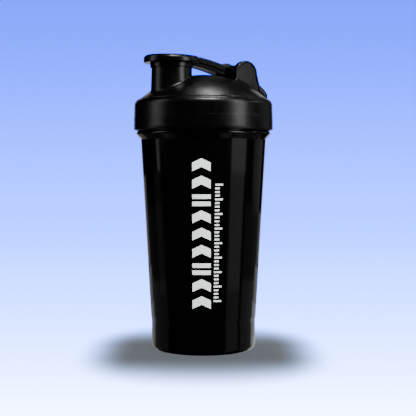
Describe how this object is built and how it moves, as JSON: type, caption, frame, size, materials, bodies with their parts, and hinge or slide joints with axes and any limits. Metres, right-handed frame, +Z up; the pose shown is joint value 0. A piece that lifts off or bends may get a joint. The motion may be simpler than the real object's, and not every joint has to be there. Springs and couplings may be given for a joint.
{
  "type": "protein shaker bottle",
  "caption": "Tapered shaker cup with a screw lid, a flip cap over a round spout, a folding carry loop and a loose wire mixing ball.",
  "frame": {"origin": "centre of the cup's foot on the surface it stands on", "axes": "+Z up along the bottle's axis, -X towards the spout, +X towards the hinge, -Y the side that carries the print"},
  "size_m": [0.1015, 0.1002, 0.211],
  "materials": {
    "cup_plastic": "gloss black moulded plastic",
    "lid_plastic": "satin black moulded plastic with a fine texture",
    "soft_seal": "soft dark grey silicone",
    "pin_plastic": "smooth black plastic",
    "ball_wire": "polished stainless wire",
    "cup_print": "flat light grey screen print"
  },
  "bodies": {
    "cup": {"cup": "cup_plastic"},
    "seal": {"lid_gasket": "soft_seal"},
    "lid": {"lid": "lid_plastic", "hinge_pin": "pin_plastic"},
    "cap": {"flip_cap": "lid_plastic", "spout_stopper": "soft_seal"},
    "loop": {"carry_loop": "lid_plastic"},
    "ball": {"whisk_ball": "ball_wire"}
  },
  "joints": [
    {"name": "lid_lift", "type": "slide", "parent": "cup", "child": "seal", "axis": [0, 0, 1], "range_m": [0, 0.024]},
    {"name": "lid_turn", "type": "hinge", "parent": "seal", "child": "lid", "pos_m": [0, 0, 0.16], "axis": [0, 0, 1], "range_deg": [0, 1080]},
    {"name": "cap_flip", "type": "hinge", "parent": "lid", "child": "cap", "pos_m": [0.0278, 0, 0.1985], "axis": [0, 1, 0], "range_deg": [0, 110]},
    {"name": "loop_swing", "type": "hinge", "parent": "lid", "child": "loop", "pos_m": [0.0278, 0, 0.1985], "axis": [0, -1, 0], "range_deg": [0, 55]},
    {"name": "ball_travel", "type": "slide", "parent": "cup", "child": "ball", "axis": [0, 0, 1], "range_m": [0, 0.11]}
  ],
  "couplings": [
    {"joint": "lid_lift", "follows": "lid_turn", "m_per_rad": 0.0012732}
  ]
}
